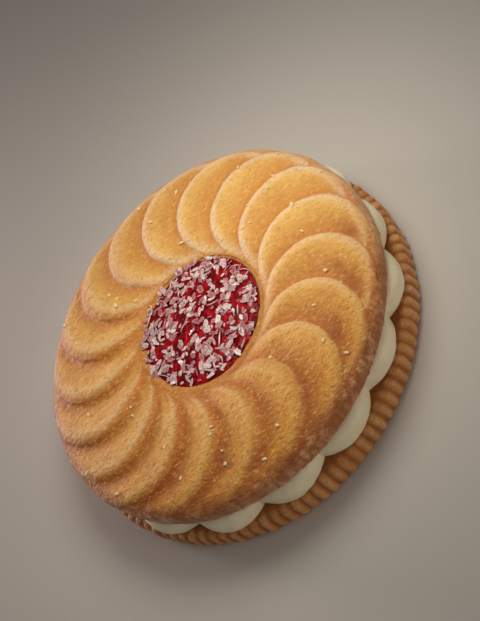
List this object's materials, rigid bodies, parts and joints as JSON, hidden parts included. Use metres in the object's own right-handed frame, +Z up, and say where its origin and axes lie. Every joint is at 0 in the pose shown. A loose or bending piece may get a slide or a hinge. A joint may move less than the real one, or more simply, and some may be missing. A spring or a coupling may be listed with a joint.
{
  "type": "sandwich cookie",
  "caption": "Round sandwich cookie: a fluted base biscuit, a layer of piped cream lobes, and a swirl-petalled top biscuit with a jam and coconut centre.",
  "frame": {"origin": "middle of the underside of the base biscuit, on the surface that the cookie lies on", "axes": "+Z up through the stack, from the base biscuit to the jam"},
  "size_m": [0.06, 0.0601, 0.0127],
  "materials": {
    "base_crust": "baked biscuit, dry brown crust with a fine crumb",
    "cream": "smooth off-white filling cream, soft satin",
    "top_crust": "baked biscuit, golden crust with a fibrous crumb",
    "jam": "wet red jam with flakes of desiccated coconut"
  },
  "bodies": {
    "root": {"base_biscuit": "base_crust", "cream": "cream", "top_biscuit": "top_crust", "jam": "jam"}
  },
  "joints": []
}
